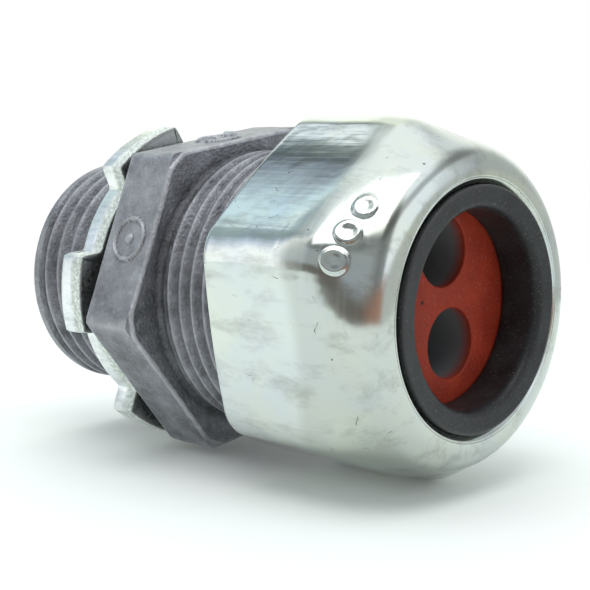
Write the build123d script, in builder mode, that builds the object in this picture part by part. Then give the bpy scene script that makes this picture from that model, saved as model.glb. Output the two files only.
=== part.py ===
"""Straight conduit and cord compression fitting, 1/2 inch trade size, for two small cables.

The axis of the fitting is X. The mouth of the gland nut looks along +X and the threaded hub
along -X, so the fitting lies on its side. The origin is on the axis, in the flange face that
clamps the wall of a box. Angles round the axis are counted from +Y towards +Z.
Lengths are in millimetres.
"""
from build123d import *
import math
import os

os.makedirs("parts", exist_ok=True)

# Hub: 14 threads per inch, straight, for the round hole in a box wall
hub_length = 13.5
hub_radius = 10.5
hub_pitch = 25.4 / 14
hub_thread_depth = 1.15
throat_radius = 7.7

# Hexagonal flange
flange_flats = 26.0
flange_thickness = 5.75
flange_turn = 9.0
flange_chamfer = 0.5

# Neck that takes the gland nut: 18 threads per inch
neck_radius = 11.9
neck_pitch = 25.4 / 18
neck_thread_depth = 0.85
neck_end = 23.6
thread_runout = 1.6

# Gland nut: a hexagon that runs out into a dome
nut_flats = 26.5
nut_corner_round = 3.0
nut_turn = 39.8
nut_rear = 14.1
nut_front = 30.0
nut_corner_radius = 14.84
dome_start = 22.5
mouth_radius = 9.65
shoulder_station = 28.0

# Thrust ring in the mouth of the nut
ring_front = 30.25
ring_rear = 26.4
ring_bore = 7.7
ring_lip = 8.15
ring_flange_radius = 11.6

# Two-hole grommet and the tapered seat in the neck
grommet_rear = 14.2
grommet_nose = 7.4
cable_hole_radius = 2.8
cable_hole_offset = 3.7
cable_hole_turn = 98.0
cable_hole_middle = (0.5, 0.6)
seat_mouth_radius = 10.1
seat_start = 13.0
tightening_travel = 1.5 * neck_pitch

# Sealing washer and locknut on the hub
washer_thickness = 1.1
washer_radius = 12.2
locknut_thickness = 2.75
locknut_valley_radius = 12.5
locknut_lug_radius = 14.45
lug_count = 6
lug_width = 29.0
lug_turn = 1.0
lug_corner_round = 1.1

running_gap = 0.05
edge_break = 0.3


def ridge_points(start, end, pitch, crest, depth):
    """Crests and roots of a thread, cut lengthwise, from its first crest to the last whole turn."""
    flat = pitch / 8
    flank = pitch / 2 - flat
    points = []
    for turn in range(int((end - start) / pitch)):
        left = start + turn * pitch
        points += [
            (left, crest),
            (left + flat, crest),
            (left + flat + flank, crest - depth),
            (left + pitch - flank, crest - depth),
        ]
    return points


def at_angle(radius, degrees):
    """A point in the YZ sketch plane, at an angle round the axis."""
    turn = math.radians(degrees)
    return (radius * math.cos(turn), radius * math.sin(turn))


# Connector body: hub, hexagonal flange and neck in one casting
seat_slope = (seat_mouth_radius - throat_radius) / (neck_end - seat_start)
hub_root = hub_radius - hub_thread_depth
neck_root = neck_radius - neck_thread_depth
with BuildPart() as connector_body:
    with BuildSketch(Plane.XY):
        with BuildLine():
            Polyline(
                (-hub_length, 0),
                (-hub_length, hub_radius - edge_break),
                *ridge_points(-hub_length + edge_break, 0, hub_pitch, hub_radius, hub_thread_depth),
                (flange_thickness / 2, hub_root),
                (flange_thickness / 2, neck_root),
                (flange_thickness + thread_runout - neck_pitch / 2, neck_root),
                *ridge_points(flange_thickness + thread_runout, neck_end, neck_pitch,
                              neck_radius, neck_thread_depth),
                (neck_end, neck_root - edge_break),
                (neck_end, 0),
                close=True,
            )
        make_face()
    revolve(axis=Axis.X)
    with BuildSketch(Plane.YZ):
        RegularPolygon(flange_flats / 2, 6, major_radius=False, rotation=flange_turn)
    extrude(amount=flange_thickness)
    # the corners of the flange are turned off on the side that faces the nut
    corner_radius = flange_flats / 2 / math.cos(math.radians(30))
    with BuildSketch(Plane.XY):
        with BuildLine():
            Polyline(
                (flange_thickness - flange_chamfer, corner_radius + 1),
                (flange_thickness - flange_chamfer, corner_radius),
                (flange_thickness, corner_radius - 2 * flange_chamfer),
                (flange_thickness + 1, corner_radius - 2 * flange_chamfer),
                (flange_thickness + 1, corner_radius + 1),
                close=True,
            )
        make_face()
    revolve(axis=Axis.X, mode=Mode.SUBTRACT)
    # cable passage: straight throat, then the tapered seat of the grommet
    with BuildSketch(Plane.XY):
        with BuildLine():
            Polyline(
                (-hub_length - 1, 0),
                (-hub_length - 1, throat_radius + edge_break),
                (-hub_length, throat_radius + edge_break),
                (-hub_length + edge_break, throat_radius),
                (seat_start, throat_radius),
                (neck_end, seat_mouth_radius),
                (neck_end + 1, seat_mouth_radius),
                (neck_end + 1, 0),
                close=True,
            )
        make_face()
    revolve(axis=Axis.X, mode=Mode.SUBTRACT)
connector_body.part.label = "connector_body"
export_step(connector_body.part, "parts/connector_body.step")

# Sealing washer between the locknut and the flange
with BuildPart() as sealing_washer:
    with BuildSketch(Plane.YZ.offset(-washer_thickness)):
        Circle(washer_radius)
        Circle(hub_radius + running_gap, mode=Mode.SUBTRACT)
    extrude(amount=washer_thickness)
    fillet(sealing_washer.edges().filter_by(GeomType.CIRCLE).group_by(SortBy.RADIUS)[-1], edge_break)
sealing_washer.part.label = "sealing_washer"
export_step(sealing_washer.part, "parts/sealing_washer.step")

# Locknut: a stamped ring with lugs to drive it round
locknut_rear = -washer_thickness - locknut_thickness
with BuildPart() as locknut:
    with BuildSketch(Plane.YZ.offset(locknut_rear)) as locknut_outline:
        Circle(locknut_valley_radius)
        for lug in range(lug_count):
            middle = lug_turn + lug * 360 / lug_count
            left, right = middle - lug_width / 2, middle + lug_width / 2
            with BuildLine():
                ThreePointArc(
                    at_angle(locknut_lug_radius, left),
                    at_angle(locknut_lug_radius, middle),
                    at_angle(locknut_lug_radius, right),
                )
                Polyline(
                    at_angle(locknut_lug_radius, right),
                    at_angle(hub_radius + 1, right + 2),
                    at_angle(hub_radius + 1, left - 2),
                    at_angle(locknut_lug_radius, left),
                )
            make_face()
        outer_corners = locknut_outline.vertices().group_by(
            lambda corner: round(corner.distance_to(Vertex(locknut_rear, 0, 0)), 1)
        )[-1]
        fillet(outer_corners, lug_corner_round)
        Circle(hub_radius + running_gap, mode=Mode.SUBTRACT)
    extrude(amount=locknut_thickness)
locknut.part.label = "locknut"
export_step(locknut.part, "parts/locknut.step")

# Gland nut: drawn shell, hexagonal outside at the rear and domed at the mouth
nut_bore = neck_radius + running_gap
with BuildPart() as gland_nut:
    with BuildSketch(Plane.YZ.offset(nut_rear)) as nut_outline:
        RegularPolygon(nut_flats / 2, 6, major_radius=False, rotation=nut_turn)
        fillet(nut_outline.vertices(), nut_corner_round)
    extrude(amount=nut_front - nut_rear)
    with BuildSketch(Plane.XY):
        with BuildLine():
            Line((nut_rear, 0), (nut_rear, nut_corner_radius - 0.7))
            Line((nut_rear, nut_corner_radius - 0.7), (nut_rear + 0.5, nut_corner_radius))
            Line((nut_rear + 0.5, nut_corner_radius), (dome_start, nut_corner_radius))
            ThreePointArc((dome_start, nut_corner_radius), (25.6, 14.05), (27.9, 12.85))
            ThreePointArc((27.9, 12.85), (29.35, 11.7), (nut_front, mouth_radius + 0.5))
            Line((nut_front, mouth_radius + 0.5), (nut_front, 0))
            Line((nut_front, 0), (nut_rear, 0))
        make_face()
    revolve(axis=Axis.X, mode=Mode.INTERSECT)
    with BuildSketch(Plane.XY):
        with BuildLine():
            Polyline(
                (nut_rear - 1, 0),
                (nut_rear - 1, nut_bore + 0.4),
                (nut_rear, nut_bore + 0.4),
                (nut_rear + 0.4, nut_bore),
                (shoulder_station - 1.2, nut_bore),
                (shoulder_station, nut_bore - 1.2),
                (shoulder_station, mouth_radius),
                (nut_front + 1, mouth_radius),
                (nut_front + 1, 0),
                close=True,
            )
        make_face()
    revolve(axis=Axis.X, mode=Mode.SUBTRACT)
gland_nut.part.label = "gland_nut"
export_step(gland_nut.part, "parts/gland_nut.step")

# Thrust ring: turns freely in the nut and pushes on the grommet without twisting it
with BuildPart() as thrust_ring:
    with BuildSketch(Plane.XY):
        with BuildLine():
            Polyline(
                (ring_rear, ring_bore),
                (ring_rear, ring_flange_radius),
                (shoulder_station - 1.2, ring_flange_radius),
                (shoulder_station - running_gap, ring_flange_radius - 1.15),
                (shoulder_station - running_gap, mouth_radius - running_gap),
                (ring_front - edge_break, mouth_radius - running_gap),
                (ring_front, mouth_radius - running_gap - edge_break),
                (ring_front, ring_lip),
                (ring_front - 0.8, ring_bore + 0.1),
                close=True,
            )
        make_face()
    revolve(axis=Axis.X)
thrust_ring.part.label = "thrust_ring"
export_step(thrust_ring.part, "parts/thrust_ring.step")

# Grommet: rubber plug with two cable holes, tapered to match the seat
taper_start = ring_rear - 2.4
seat_gap = tightening_travel + 0.3
taper_end = seat_start + seat_gap
taper_end_radius = throat_radius - 2 * running_gap
with BuildPart() as grommet:
    with BuildSketch(Plane.XY):
        with BuildLine():
            Polyline(
                (grommet_rear, 0),
                (grommet_rear, grommet_nose - edge_break),
                (grommet_rear + edge_break, grommet_nose),
                (taper_end, taper_end_radius),
                (taper_start, taper_end_radius + (taper_start - taper_end) * seat_slope),
                (ring_rear, taper_end_radius + (taper_start - taper_end) * seat_slope),
                (ring_rear, 0),
                close=True,
            )
        make_face()
    revolve(axis=Axis.X)
    with BuildSketch(Plane.YZ.offset(grommet_rear)):
        with Locations(cable_hole_middle):
            with PolarLocations(cable_hole_offset, 2, start_angle=cable_hole_turn):
                Circle(cable_hole_radius)
    extrude(amount=ring_rear - grommet_rear, mode=Mode.SUBTRACT)
grommet.part.label = "grommet"
export_step(grommet.part, "parts/grommet.step")
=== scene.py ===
import math

import bmesh
import bpy
import numpy as np
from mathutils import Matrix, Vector


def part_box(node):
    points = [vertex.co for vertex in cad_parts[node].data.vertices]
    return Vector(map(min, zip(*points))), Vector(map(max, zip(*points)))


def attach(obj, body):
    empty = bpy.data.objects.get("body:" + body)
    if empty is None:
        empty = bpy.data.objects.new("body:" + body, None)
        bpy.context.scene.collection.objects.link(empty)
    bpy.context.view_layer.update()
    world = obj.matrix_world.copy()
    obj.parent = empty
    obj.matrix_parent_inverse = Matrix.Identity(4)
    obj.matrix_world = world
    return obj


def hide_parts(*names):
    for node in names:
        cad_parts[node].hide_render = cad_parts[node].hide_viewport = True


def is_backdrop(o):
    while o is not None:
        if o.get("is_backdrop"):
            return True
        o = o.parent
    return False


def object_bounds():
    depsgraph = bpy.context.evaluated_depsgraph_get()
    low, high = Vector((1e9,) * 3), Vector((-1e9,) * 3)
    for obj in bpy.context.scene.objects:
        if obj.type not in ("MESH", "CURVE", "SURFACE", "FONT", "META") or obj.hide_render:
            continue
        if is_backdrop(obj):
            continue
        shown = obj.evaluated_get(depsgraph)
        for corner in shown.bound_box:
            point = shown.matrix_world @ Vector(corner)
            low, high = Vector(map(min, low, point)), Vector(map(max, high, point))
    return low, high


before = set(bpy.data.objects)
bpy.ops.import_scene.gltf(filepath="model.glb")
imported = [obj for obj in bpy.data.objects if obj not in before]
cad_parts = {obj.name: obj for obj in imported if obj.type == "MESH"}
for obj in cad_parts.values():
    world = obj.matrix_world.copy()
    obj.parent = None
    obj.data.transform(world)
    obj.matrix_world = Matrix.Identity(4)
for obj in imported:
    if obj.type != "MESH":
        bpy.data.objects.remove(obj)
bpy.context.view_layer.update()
print("frame loaded,", len(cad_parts), "nodes")

# in the settings lengths are in millimetres and directions in degrees, unless a comment says else
mm = 0.001
fullTurn = 2 * math.pi
inch = 25.4
scene = bpy.context.scene


def stations(node):
    # the first and last X of a CAD node, in millimetres
    low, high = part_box(node)
    return low.x / mm, high.x / mm


def easeStep(value, start, end):
    # 0 before start, 1 after end, and 3t^2 - 2t^3 between them
    t = np.clip((value - start) / (end - start), 0, 1)
    return t * t * (3 - 2 * t)


def turnFrom(theta, degrees):
    # the signed angle from a direction, between minus and plus half a turn
    return (theta - math.radians(degrees) + math.pi) % fullTurn - math.pi


def fromHexCorner(theta, turn):
    # the unsigned angle from the nearest corner of a hexagon that has a corner at turn
    sixth = fullTurn / 6
    return np.abs((theta - math.radians(turn) + sixth / 2) % sixth - sixth / 2)


def columnAngles(count, crowded=()):
    # angles from 0 to a full turn, packed closer round each (middle, spread, extra) of crowded:
    # equal steps of the running total of 1 + extra * exp(-((angle - middle) / spread)^2)
    fine = np.linspace(0, fullTurn, 7201)
    density = np.ones_like(fine)
    for middle, spread, extra in crowded:
        away = turnFrom(fine, middle) / math.radians(spread)
        density += extra * np.exp(-(away ** 2))
    total = np.concatenate([[0], np.cumsum((density[1:] + density[:-1]) / 2)])
    return np.interp(np.linspace(0, total[-1], count), total, fine)[None, :]


def hexRadius(theta, apothem, cornerRound, turn):
    # distance from the axis to a hexagon: apothem / cos(angle from the flat's middle), and near
    # a corner the far crossing of the ray with a circle of cornerRound that touches both flats
    sixth = fullTurn / 6
    fromCorner = fromHexCorner(theta, turn)
    fromFlat = sixth / 2 - fromCorner
    reach = (apothem - cornerRound) / math.cos(sixth / 2)
    inside = np.maximum(cornerRound ** 2 - (reach * np.sin(fromCorner)) ** 2, 0)
    limit = math.atan((apothem - cornerRound) * math.tan(sixth / 2) / apothem)
    corner = reach * np.cos(fromCorner) + np.sqrt(inside)
    return np.where(fromFlat < limit, apothem / np.cos(fromFlat), corner)


def unevenness(x, theta, seed, waves, finest):
    # a sum of sine waves with whole numbers of waves round the axis, so it closes on itself,
    # each weaker the finer it is, scaled to about -1 .. 1
    draw = np.random.default_rng(seed)
    total = 0.0
    for wave in range(waves):
        around = draw.integers(1, finest + 1)
        along = draw.uniform(-1, 1) * finest / 12
        strength = 1 / (1 + around / 8)
        total = total + strength * np.sin(around * theta + along * x + draw.uniform(0, fullTurn))
    return total / math.sqrt(waves)


def helixRows(start, end, pitch, theta, rows):
    # stations of a threaded length: row k lies k / rows of a pitch along and climbs one pitch a
    # turn, right-handed; what would leave the length is held at its end, so the rows close up
    turns = math.ceil((end - start) / pitch) + 1
    step = np.arange(turns * rows + 1)[:, None] / rows - 1
    return np.clip(start + pitch * (step + theta / fullTurn), start, end)


def threadHeight(x, theta, pitch, crestAt):
    # the height, 1 on the crest of the helix and 0 in its root with an eased flank between, and
    # how rubbed the crest is: exp(-(away / crestRub)^2), away being the share of a pitch from it
    landEnd, rootStart, crestRub = 0.05, 0.42, 0.06
    share = (x - crestAt) / pitch - theta / fullTurn
    away = np.abs((share + 0.5) % 1 - 0.5)
    return 1 - easeStep(away, landEnd, rootStart), np.exp(-((away / crestRub) ** 2))


def bend(x, r, radius, first, last, count=5):
    # rows of a rounded edge: an arc about (x, r) between two directions in degrees, +X is 0
    turn = np.radians(np.linspace(first, last, count))[:, None]
    return x + radius * np.cos(turn), r + radius * np.sin(turn)


def run(x0, r0, x1, r1, count):
    # rows of a straight stretch of a section, its ends included; r0 or r1 may vary round the axis
    t = np.linspace(0, 1, count)[:, None]
    return x0 + (x1 - x0) * t, r0 + (r1 - r0) * t


def stackRows(parts, theta):
    # the rows of a closed section one after another, and the first of them again at the end;
    # and the number of the row that each part starts with
    xs, rs = [], []
    for x, r in parts:
        shape = (max(np.shape(x)[0], np.shape(r)[0]), theta.shape[1])
        xs.append(np.broadcast_to(x, shape))
        rs.append(np.broadcast_to(r, shape))
    xs.append(xs[0][:1])
    rs.append(rs[0][:1])
    starts = np.cumsum([0] + [len(x) for x in xs[:-1]])
    return np.vstack(xs), np.vstack(rs), starts


def turned(x, r, theta):
    # points of a section turned round the X axis: (x, r cos, r sin)
    return np.stack([x, r * np.cos(theta), r * np.sin(theta)], axis=-1)


def gridFaces(rows, columns):
    # the four-sided faces between the neighbours of a grid of points
    index = np.arange(rows * columns).reshape(rows, columns)
    return np.stack([index[:-1, :-1], index[1:, :-1], index[1:, 1:], index[:-1, 1:]], axis=-1)


def makePiece(name, grids, body, node, material, sharp):
    # grids of points in millimetres, neighbours joined by four-sided faces; each grid is
    # (points, attribute values by name, mask of the faces to keep or None); rows that meet are
    # welded, and edges turned by more than sharp degrees stay sharp
    weld, sliver = 2e-6, 1e-7
    coords, corners, values, offset = [], [], {}, 0
    for points, marks, keep in grids:
        rows, columns = points.shape[:2]
        quads = gridFaces(rows, columns) + offset
        corners.append(quads[keep] if keep is not None else quads.reshape(-1, 4))
        coords.append(points.reshape(-1, 3))
        for key, value in marks.items():
            values.setdefault(key, []).append(np.broadcast_to(value, (rows, columns)).ravel())
        offset += rows * columns
    coords, corners = np.concatenate(coords) * mm, np.concatenate(corners)
    mesh = bpy.data.meshes.new(name)
    mesh.vertices.add(len(coords))
    mesh.vertices.foreach_set("co", coords.astype(np.float32).ravel())
    mesh.loops.add(corners.size)
    mesh.loops.foreach_set("vertex_index", corners.astype(np.int32).ravel())
    mesh.polygons.add(len(corners))
    mesh.polygons.foreach_set("loop_start", np.arange(0, corners.size, 4, dtype=np.int32))
    for key, value in values.items():
        layer = mesh.attributes.new(key, "FLOAT", "POINT")
        layer.data.foreach_set("value", np.concatenate(value).astype(np.float32))
    mesh.update(calc_edges=True)
    work = bmesh.new()
    work.from_mesh(mesh)
    bmesh.ops.remove_doubles(work, verts=work.verts, dist=weld)
    bmesh.ops.dissolve_degenerate(work, edges=work.edges, dist=sliver)
    loose = [v for v in work.verts if not v.link_faces]
    bmesh.ops.delete(work, geom=loose, context="VERTS")
    bmesh.ops.recalc_face_normals(work, faces=work.faces)
    openEdges = sum(1 for e in work.edges if len(e.link_faces) != 2)
    triangles = sum(len(f.verts) - 2 for f in work.faces)
    work.to_mesh(mesh)
    work.free()
    mesh.polygons.foreach_set("use_smooth", np.ones(len(mesh.polygons), bool))
    mesh.set_sharp_from_angle(angle=math.radians(sharp))
    mesh.materials.append(material)
    piece = bpy.data.objects.new(name, mesh)
    scene.collection.objects.link(piece)
    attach(piece, body)
    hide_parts(node)
    print(name, "made:", triangles, "triangles,", openEdges, "open edges")


def emptyTree(owner):
    # an empty node tree for a material or a world
    owner.use_nodes = True
    owner.node_tree.nodes.clear()
    return owner.node_tree.nodes, owner.node_tree.links


def castZinc(name):
    # die-cast zinc: dull violet grey, sandy skin, crests and edges rubbed paler, darker in
    # hollows;
    # paler also holds painted light on the flats that face up, and darker holds painted shade
    # round the cast marks
    material = bpy.data.materials.new(name)
    nodes, links = emptyTree(material)

    place = nodes.new("ShaderNodeTexCoord")
    place.label = "place on the casting"

    colourFrame = nodes.new("NodeFrame")
    colourFrame.label = "colour of the casting"
    patches = nodes.new("ShaderNodeTexNoise")
    patches.label = "broad light and dark patches"
    patches.inputs["Scale"].default_value = 380
    patches.inputs["Detail"].default_value = 9
    patches.inputs["Roughness"].default_value = 0.72
    patchTones = nodes.new("ShaderNodeValToRGB")
    patchTones.label = "zinc greys"
    patchTones.color_ramp.elements[0].position = 0.3
    patchTones.color_ramp.elements[0].color = (0.105, 0.109, 0.12, 1)
    patchTones.color_ramp.elements[1].position = 0.72
    patchTones.color_ramp.elements[1].color = (0.4, 0.408, 0.44, 1)
    links.new(place.outputs["Object"], patches.inputs["Vector"])
    links.new(patches.outputs["Fac"], patchTones.inputs["Fac"])

    sand = nodes.new("ShaderNodeTexNoise")
    sand.label = "sandy skin of the mould"
    sand.inputs["Scale"].default_value = 3600
    sand.inputs["Detail"].default_value = 5
    sandTones = nodes.new("ShaderNodeValToRGB")
    sandTones.label = "bright grains"
    sandTones.color_ramp.elements[0].position = 0.56
    sandTones.color_ramp.elements[0].color = (0, 0, 0, 1)
    sandTones.color_ramp.elements[1].position = 0.74
    sandTones.color_ramp.elements[1].color = (1, 1, 1, 1)
    grainMix = nodes.new("ShaderNodeMix")
    grainMix.label = "grains over the patches"
    grainMix.data_type = "RGBA"
    grainMix.blend_type = "ADD"
    grainMix.inputs["B"].default_value = (0.9, 0.9, 0.95, 1)
    grainStrength = nodes.new("ShaderNodeMath")
    grainStrength.label = "how bright the grains are"
    grainStrength.operation = "MULTIPLY"
    grainStrength.inputs[1].default_value = 0.13
    links.new(place.outputs["Object"], sand.inputs["Vector"])
    links.new(sand.outputs["Fac"], sandTones.inputs["Fac"])
    links.new(sandTones.outputs["Color"], grainStrength.inputs[0])
    links.new(grainStrength.outputs["Value"], grainMix.inputs["Factor"])
    links.new(patchTones.outputs["Color"], grainMix.inputs["A"])

    # rubbing on crests and edges, and painted light on the flats that face up, both made paler
    # here
    wearAndPaintedLight = nodes.new("ShaderNodeAttribute")
    wearAndPaintedLight.label = "rubbed crests and edges, painted light on upward flats"
    wearAndPaintedLight.attribute_name = "wearAndPaintedLight"
    wearBreak = nodes.new("ShaderNodeTexNoise")
    wearBreak.label = "breaks in the rubbed lines"
    wearBreak.inputs["Scale"].default_value = 900
    wearBreak.inputs["Detail"].default_value = 4
    rubAndLightAmount = nodes.new("ShaderNodeMath")
    rubAndLightAmount.label = "uneven rubbing and painted light"
    rubAndLightAmount.operation = "MULTIPLY"
    rubAndLightMix = nodes.new("ShaderNodeMix")
    rubAndLightMix.label = "bare metal on the crests, painted light on upward flats"
    rubAndLightMix.data_type = "RGBA"
    rubAndLightMix.inputs["B"].default_value = (0.62, 0.63, 0.66, 1)
    links.new(place.outputs["Object"], wearBreak.inputs["Vector"])
    links.new(wearAndPaintedLight.outputs["Fac"], rubAndLightAmount.inputs[0])
    links.new(wearBreak.outputs["Fac"], rubAndLightAmount.inputs[1])
    links.new(rubAndLightAmount.outputs["Value"], rubAndLightMix.inputs["Factor"])
    links.new(grainMix.outputs["Result"], rubAndLightMix.inputs["A"])

    # darker in the thread roots and the corner by the neck, and painted shade outlining the cast
    # marks
    hollow = nodes.new("ShaderNodeAttribute")
    hollow.label = "roots and inside corners"
    hollow.attribute_name = "hollow"
    hollowDarkMix = nodes.new("ShaderNodeMix")
    hollowDarkMix.label = "dark in the hollows"
    hollowDarkMix.data_type = "RGBA"
    hollowDarkMix.inputs["B"].default_value = (0.04, 0.042, 0.045, 1)
    links.new(hollow.outputs["Fac"], hollowDarkMix.inputs["Factor"])
    links.new(rubAndLightMix.outputs["Result"], hollowDarkMix.inputs["A"])
    for node, spot in (
            (patches, (-1200, 400)), (patchTones, (-950, 400)), (sand, (-1200, 150)),
            (sandTones, (-950, 150)), (grainMix, (-650, 300)), (grainStrength, (-800, 60)),
            (wearAndPaintedLight, (-1200, -80)), (wearBreak, (-1200, -280)), (rubAndLightAmount, (-950, -150)),
            (rubAndLightMix, (-450, 200)), (hollow, (-650, -80)), (hollowDarkMix, (-230, 200))):
        node.parent, node.location = colourFrame, spot

    finishFrame = nodes.new("NodeFrame")
    finishFrame.label = "dullness and skin"
    dull = nodes.new("ShaderNodeMapRange")
    dull.label = "dull skin, smoother where dark"
    dull.inputs["To Min"].default_value = 0.4
    dull.inputs["To Max"].default_value = 0.62
    pits = nodes.new("ShaderNodeTexVoronoi")
    pits.label = "small casting pits"
    pits.inputs["Scale"].default_value = 1500
    pitDepth = nodes.new("ShaderNodeMapRange")
    pitDepth.label = "only the middle of a cell is a pit"
    pitDepth.inputs["From Max"].default_value = 0.3
    skinBump = nodes.new("ShaderNodeBump")
    skinBump.label = "sandy skin"
    skinBump.inputs["Strength"].default_value = 0.9
    skinBump.inputs["Distance"].default_value = 0.00014
    pitBump = nodes.new("ShaderNodeBump")
    pitBump.label = "pits"
    pitBump.inputs["Strength"].default_value = 0.3
    pitBump.inputs["Distance"].default_value = 0.00008
    links.new(patches.outputs["Fac"], dull.inputs["Value"])
    links.new(place.outputs["Object"], pits.inputs["Vector"])
    links.new(pits.outputs["Distance"], pitDepth.inputs["Value"])
    links.new(sand.outputs["Fac"], skinBump.inputs["Height"])
    links.new(pitDepth.outputs["Result"], pitBump.inputs["Height"])
    links.new(skinBump.outputs["Normal"], pitBump.inputs["Normal"])
    for node, spot in (
            (dull, (-650, -350)), (pits, (-1200, -520)), (pitDepth, (-950, -520)),
            (skinBump, (-450, -420)), (pitBump, (-230, -420))):
        node.parent, node.location = finishFrame, spot

    metal = nodes.new("ShaderNodeBsdfPrincipled")
    metal.label = "cast zinc"
    metal.inputs["Metallic"].default_value = 0.75
    metal.inputs["Specular IOR Level"].default_value = 0.4
    output = nodes.new("ShaderNodeOutputMaterial")
    output.label = "casting"
    links.new(hollowDarkMix.outputs["Result"], metal.inputs["Base Color"])
    links.new(dull.outputs["Result"], metal.inputs["Roughness"])
    links.new(pitBump.outputs["Normal"], metal.inputs["Normal"])
    links.new(metal.outputs["BSDF"], output.inputs["Surface"])
    for node, spot in ((place, (-1500, 0)), (metal, (50, 0)), (output, (350, 0))):
        node.location = spot
    return material


def platedSteel(name, cool, warm, gloss, grainScale, shearDepth):
    # bright zinc plate: a near-white mirror with drawing lines, smears, nicks, faint tints and
    # painted shade where pieces meet;
    # cool and warm are the tints, gloss the roughness, grainScale the scale of the drawing lines
    # and shearDepth the relief of a torn edge in metres
    material = bpy.data.materials.new(name)
    nodes, links = emptyTree(material)

    place = nodes.new("ShaderNodeTexCoord")
    place.label = "place on the plating"

    tintFrame = nodes.new("NodeFrame")
    tintFrame.label = "tint of the plating"
    clouds = nodes.new("ShaderNodeTexNoise")
    clouds.label = "clouds of tint"
    clouds.inputs["Scale"].default_value = 170
    clouds.inputs["Detail"].default_value = 4
    clouds.inputs["Distortion"].default_value = 0.6
    tints = nodes.new("ShaderNodeValToRGB")
    tints.label = "cool to warm plate"
    tints.color_ramp.elements[0].position = 0.36
    tints.color_ramp.elements[0].color = (*cool, 1)
    tints.color_ramp.elements[1].position = 0.66
    tints.color_ramp.elements[1].color = (*warm, 1)
    links.new(place.outputs["Object"], clouds.inputs["Vector"])
    links.new(clouds.outputs["Fac"], tints.inputs["Fac"])

    smearPlace = nodes.new("ShaderNodeMapping")
    smearPlace.label = "smears run lengthwise"
    smearPlace.inputs["Scale"].default_value = (0.35, 1, 1)
    smears = nodes.new("ShaderNodeTexNoise")
    smears.label = "dull smears and handling marks"
    smears.inputs["Scale"].default_value = 520
    smears.inputs["Detail"].default_value = 7
    smears.inputs["Roughness"].default_value = 0.68
    smearTones = nodes.new("ShaderNodeValToRGB")
    smearTones.label = "where the plate is smeared"
    smearTones.color_ramp.elements[0].position = 0.5
    smearTones.color_ramp.elements[0].color = (0, 0, 0, 1)
    smearTones.color_ramp.elements[1].position = 0.72
    smearTones.color_ramp.elements[1].color = (1, 1, 1, 1)
    smearShade = nodes.new("ShaderNodeMath")
    smearShade.label = "smears are only a little darker"
    smearShade.operation = "MULTIPLY"
    smearShade.inputs[1].default_value = 0.75
    smearMix = nodes.new("ShaderNodeMix")
    smearMix.label = "smears over the tint"
    smearMix.data_type = "RGBA"
    smearMix.inputs["B"].default_value = (0.4, 0.42, 0.39, 1)
    links.new(place.outputs["Object"], smearPlace.inputs["Vector"])
    links.new(smearPlace.outputs["Vector"], smears.inputs["Vector"])
    links.new(smears.outputs["Fac"], smearTones.inputs["Fac"])
    links.new(smearTones.outputs["Color"], smearShade.inputs[0])
    links.new(smearShade.outputs["Value"], smearMix.inputs["Factor"])
    links.new(tints.outputs["Color"], smearMix.inputs["A"])

    nickCells = nodes.new("ShaderNodeTexVoronoi")
    nickCells.label = "one nick to a cell"
    nickCells.inputs["Scale"].default_value = 420
    nickSize = nodes.new("ShaderNodeMath")
    nickSize.label = "inside the nick"
    nickSize.operation = "LESS_THAN"
    nickSize.inputs[1].default_value = 0.075
    nickPick = nodes.new("ShaderNodeSeparateColor")
    nickPick.label = "cells drawn by lot"
    nickChance = nodes.new("ShaderNodeMath")
    nickChance.label = "one cell in four has a nick"
    nickChance.operation = "LESS_THAN"
    nickChance.inputs[1].default_value = 0.25
    nicks = nodes.new("ShaderNodeMath")
    nicks.label = "dark nicks"
    nicks.operation = "MULTIPLY"
    links.new(place.outputs["Object"], nickCells.inputs["Vector"])
    links.new(nickCells.outputs["Distance"], nickSize.inputs[0])
    links.new(nickCells.outputs["Color"], nickPick.inputs["Color"])
    links.new(nickPick.outputs["Red"], nickChance.inputs[0])
    links.new(nickSize.outputs["Value"], nicks.inputs[0])
    links.new(nickChance.outputs["Value"], nicks.inputs[1])

    paths = nodes.new("ShaderNodeTexNoise")
    paths.label = "paths of the scratches"
    paths.inputs["Scale"].default_value = 420
    paths.inputs["Detail"].default_value = 1
    paths.inputs["Distortion"].default_value = 0.2
    nearPath = nodes.new("ShaderNodeMath")
    nearPath.label = "a thin line where the noise is a half"
    nearPath.operation = "COMPARE"
    nearPath.inputs[1].default_value = 0.5
    nearPath.inputs[2].default_value = 0.004
    broken = nodes.new("ShaderNodeTexNoise")
    broken.label = "where scratches break off"
    broken.inputs["Scale"].default_value = 700
    broken.inputs["Detail"].default_value = 2
    kept = nodes.new("ShaderNodeMath")
    kept.label = "short pieces are kept"
    kept.operation = "GREATER_THAN"
    kept.inputs[1].default_value = 0.65
    scratches = nodes.new("ShaderNodeMath")
    scratches.label = "short scratches"
    scratches.operation = "MULTIPLY"
    marred = nodes.new("ShaderNodeMath")
    marred.label = "nicks and scratches"
    marred.operation = "MAXIMUM"
    links.new(place.outputs["Object"], paths.inputs["Vector"])
    links.new(paths.outputs["Fac"], nearPath.inputs[0])
    links.new(place.outputs["Object"], broken.inputs["Vector"])
    links.new(broken.outputs["Fac"], kept.inputs[0])
    links.new(nearPath.outputs["Value"], scratches.inputs[0])
    links.new(kept.outputs["Value"], scratches.inputs[1])
    links.new(nicks.outputs["Value"], marred.inputs[0])
    links.new(scratches.outputs["Value"], marred.inputs[1])
    nickMix = nodes.new("ShaderNodeMix")
    nickMix.label = "marks show the steel"
    nickMix.data_type = "RGBA"
    nickMix.inputs["B"].default_value = (0.2, 0.2, 0.2, 1)
    links.new(marred.outputs["Value"], nickMix.inputs["Factor"])

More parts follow.
